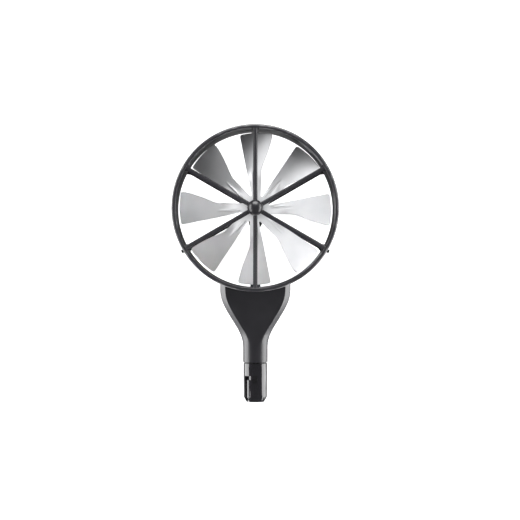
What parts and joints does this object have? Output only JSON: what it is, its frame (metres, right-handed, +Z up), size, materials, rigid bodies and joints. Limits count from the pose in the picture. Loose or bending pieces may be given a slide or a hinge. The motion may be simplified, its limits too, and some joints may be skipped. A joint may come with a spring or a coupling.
{
  "type": "vane anemometer probe head",
  "caption": "Guarded vane impeller in a short round duct on a flared neck with a bayonet spigot, for reading air speed at a handle or extension rod.",
  "frame": {"origin": "on the bayonet spigot's axis at the upper edge of its sleeve", "axes": "+Z up the neck towards the duct, -Y towards the front guard, so +Y is the air's way from front to rear along the impeller's axis, +X to the right seen from the front"},
  "size_m": [0.105, 0.0476, 0.1775],
  "materials": {
    "duct_plastic": "moulded ABS, fine satin texture",
    "neck_plastic": "moulded ABS, satin",
    "cap_plastic": "moulded ABS, polished",
    "sleeve_plastic": "moulded glass-filled nylon, polished",
    "vane_aluminium": "stamped sheet, satin polished",
    "hub_aluminium": "turned",
    "bush_brass": "turned",
    "jewel_ruby": "polished synthetic ruby",
    "shaft_steel": "ground",
    "pickup_plastic": "moulded, satin",
    "bobbin_nylon": "moulded natural nylon",
    "ferrite": "pressed and sintered",
    "copper_wire": "enamelled winding wire",
    "lead_pvc": "extruded insulation",
    "screw_steel": "zinc plated, dark",
    "board_laminate": "glass epoxy laminate with solder resist",
    "chip_epoxy": "moulded epoxy",
    "wire_red": "extruded insulation",
    "seal_rubber": "moulded nitrile rubber",
    "contact_gold": "gold plated"
  },
  "bodies": {
    "probe_head": {"duct_ring": "duct_plastic", "front_guard": "duct_plastic", "rear_guard": "duct_plastic", "front_cap": "cap_plastic", "rear_cap": "cap_plastic", "front_bearing_bush": "bush_brass", "rear_bearing_bush": "bush_brass", "front_jewel": "jewel_ruby", "rear_jewel": "jewel_ruby", "pickup_housing": "pickup_plastic", "pickup_bobbin": "bobbin_nylon", "pickup_core": "ferrite", "pickup_winding": "copper_wire", "pickup_lead": "lead_pvc", "lead_cover": "duct_plastic", "neck_front_shell": "neck_plastic", "neck_rear_shell": "neck_plastic", "housing_screws": "screw_steel", "circuit_board": "board_laminate", "board_chips": "chip_epoxy", "connector_leads": "wire_red", "bayonet_sleeve": "sleeve_plastic", "seal_ring": "seal_rubber", "connector_insert": "sleeve_plastic", "contact_sockets": "contact_gold"},
    "impeller": {"impeller_vanes": "vane_aluminium", "impeller_hub": "hub_aluminium", "hub_collar": "hub_aluminium", "impeller_shaft": "shaft_steel"}
  },
  "joints": [
    {"name": "impeller_spin", "type": "hinge", "parent": "probe_head", "child": "impeller", "pos_m": [0, 0, 0.0983], "axis": [0, 1, 0], "continuous": true}
  ]
}
